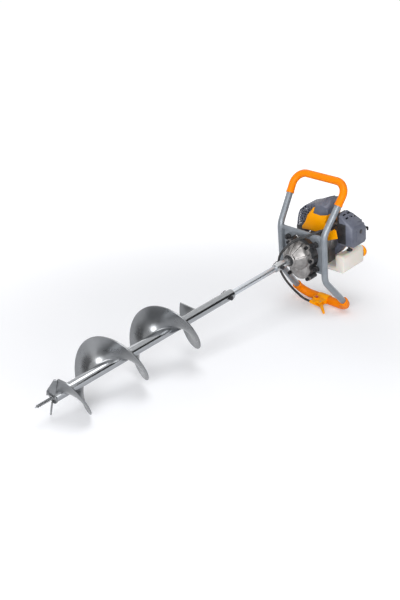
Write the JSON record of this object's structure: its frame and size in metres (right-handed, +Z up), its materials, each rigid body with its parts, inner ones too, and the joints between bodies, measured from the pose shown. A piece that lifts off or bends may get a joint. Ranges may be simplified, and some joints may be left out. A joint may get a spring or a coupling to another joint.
{
  "type": "earth auger",
  "caption": "Petrol earth auger: helical bit on a shaft, reduction gearbox and small two-stroke engine in a closed tube frame with sleeved grips, lying on the floor.",
  "frame": {"origin": "on the floor under the middle of the machine's box as it lies on its lower grip and its bit", "axes": "+X along the machine from the bit's point to the engine, +Z up, -Y to the air filter side"},
  "size_m": [1.4056, 0.2907, 0.5274],
  "materials": {
    "bit_steel": "satin steel with mill marks",
    "machined_steel": "machined",
    "black_oxide": "black oxide",
    "cast_alloy": "sand-cast",
    "black_enamel": "semi-matt black enamel",
    "black_rubber": "matt",
    "black_plastic": "moulded",
    "plug_ceramic": "glazed ceramic and plated steel",
    "slate_plastic": "textured moulding",
    "orange_plastic": "smooth moulding",
    "orange_sleeve": "soft sleeve",
    "foam": "open-cell foam",
    "tank_plastic": "milky blow moulding",
    "rope": "braided",
    "frame_paint": "grey powder coat",
    "red_plastic": "moulded"
  },
  "bodies": {
    "machine": {"ball_bearings": "machined_steel", "trigger_pin": "machined_steel", "mounting_bolts": "black_oxide", "gearbox_case": "cast_alloy", "crankcase_front": "cast_alloy", "crankcase_rear": "cast_alloy", "cylinder": "cast_alloy", "carburettor": "cast_alloy", "gearbox_cover": "black_enamel", "clutch_housing": "black_enamel", "muffler": "black_enamel", "output_seal": "black_rubber", "plug_boot": "black_rubber", "fuel_lines": "black_rubber", "dampers": "black_rubber", "throttle_cable": "black_rubber", "ignition_coil": "black_plastic", "intake_insulator": "black_plastic", "filter_base": "black_plastic", "filter_screw": "black_plastic", "spark_plug": "plug_ceramic", "fan_housing": "slate_plastic", "top_cover": "slate_plastic", "filter_cover": "slate_plastic", "muffler_guard": "slate_plastic", "engine_shroud": "orange_plastic", "starter_housing": "orange_plastic", "throttle_housing": "orange_plastic", "upper_grip": "orange_sleeve", "lower_grip": "orange_sleeve", "filter_element": "foam", "fuel_tank": "tank_plastic", "starter_rope": "rope", "upper_hoop": "frame_paint", "lower_hoop": "frame_paint", "crossbar": "frame_paint", "mount_plate": "frame_paint"},
    "bit_drive": {"pilot_point": "bit_steel", "cutter_blade": "bit_steel", "bit_flight": "bit_steel", "bit_tube": "bit_steel", "drive_pins": "black_oxide", "extension_shaft": "bit_steel", "output_shaft": "machined_steel", "output_gear": "machined_steel"},
    "layshaft": {"layshaft": "machined_steel"},
    "clutch_drum": {"clutch_drum": "machined_steel", "drive_pinion": "machined_steel"},
    "throttle_trigger": {"throttle_trigger": "orange_plastic"},
    "throttle_arm": {"throttle_arm": "machined_steel"},
    "choke_lever": {"choke_lever": "black_oxide"},
    "fuel_cap": {"fuel_cap": "orange_plastic"},
    "starter_pulley": {"starter_pulley": "black_plastic"},
    "starter_handle": {"starter_handle": "black_plastic"},
    "stop_switch": {"stop_switch": "red_plastic"},
    "crank": {"crankshaft": "machined_steel", "flywheel": "cast_alloy", "clutch_shoes": "black_oxide"},
    "piston": {"piston": "cast_alloy", "connecting_rod": "machined_steel"}
  },
  "joints": [
    {"name": "drive_spin", "type": "hinge", "parent": "machine", "child": "bit_drive", "pos_m": [0.26111, 0.01615, 0.21826], "axis": [0.9892, 0, 0.1465], "continuous": true},
    {"name": "layshaft_spin", "type": "hinge", "parent": "machine", "child": "layshaft", "pos_m": [0.43631, 0.01615, 0.19568], "axis": [0.9892, 0, 0.1465], "continuous": true},
    {"name": "drum_spin", "type": "hinge", "parent": "machine", "child": "clutch_drum", "pos_m": [0.47973, 0.01615, 0.2438], "axis": [0.9892, 0, 0.1465], "continuous": true},
    {"name": "trigger_pull", "type": "hinge", "parent": "machine", "child": "throttle_trigger", "pos_m": [0.57229, 0.00615, 0.01464], "axis": [-0.1465, 0, 0.9892], "range_deg": [0, 22], "stiffness_Nm_per_rad": 0.4, "springref_deg": -17.19},
    {"name": "throttle_arm_turn", "type": "hinge", "parent": "machine", "child": "throttle_arm", "pos_m": [0.55481, -0.06185, 0.36486], "axis": [-0.1465, 0, 0.9892], "range_deg": [0, 66]},
    {"name": "choke_turn", "type": "hinge", "parent": "machine", "child": "choke_lever", "pos_m": [0.6176, -0.07985, 0.33675], "axis": [0, 1, 0], "range_deg": [0, 60]},
    {"name": "cap_turn", "type": "hinge", "parent": "machine", "child": "fuel_cap", "pos_m": [0.68171, -0.07435, 0.21786], "axis": [0.9892, 0, 0.1465], "range_deg": [0, 540]},
    {"name": "starter_pull", "type": "slide", "parent": "machine", "child": "starter_handle", "axis": [-0.1465, 0, 0.9892], "range_m": [0, 0.55], "stiffness_N_per_m": 20, "springref_m": -0.5, "deforming": ["starter_rope"]},
    {"name": "pulley_spin", "type": "hinge", "parent": "machine", "child": "starter_pulley", "pos_m": [0.6469, 0.01615, 0.26856], "axis": [0.9892, 0, 0.1465], "range_deg": [0, 1130]},
    {"name": "crank_spin", "type": "hinge", "parent": "machine", "child": "crank", "pos_m": [0.57073, 0.01615, 0.25728], "axis": [0.9892, 0, 0.1465], "continuous": true},
    {"name": "piston_stroke", "type": "slide", "parent": "machine", "child": "piston", "axis": [0.1465, 0, -0.9892], "range_m": [0, 0.034]},
    {"name": "stop_slide", "type": "slide", "parent": "machine", "child": "stop_switch", "axis": [0, 1, 0], "range_m": [0, 0.004]}
  ],
  "couplings": [
    {"joint": "layshaft_spin", "follows": "drive_spin", "ratio": -5.4},
    {"joint": "drum_spin", "follows": "drive_spin", "ratio": 30.24},
    {"joint": "throttle_arm_turn", "follows": "trigger_pull", "ratio": 3},
    {"joint": "pulley_spin", "follows": "starter_pull", "rad_per_m": 35.714}
  ]
}
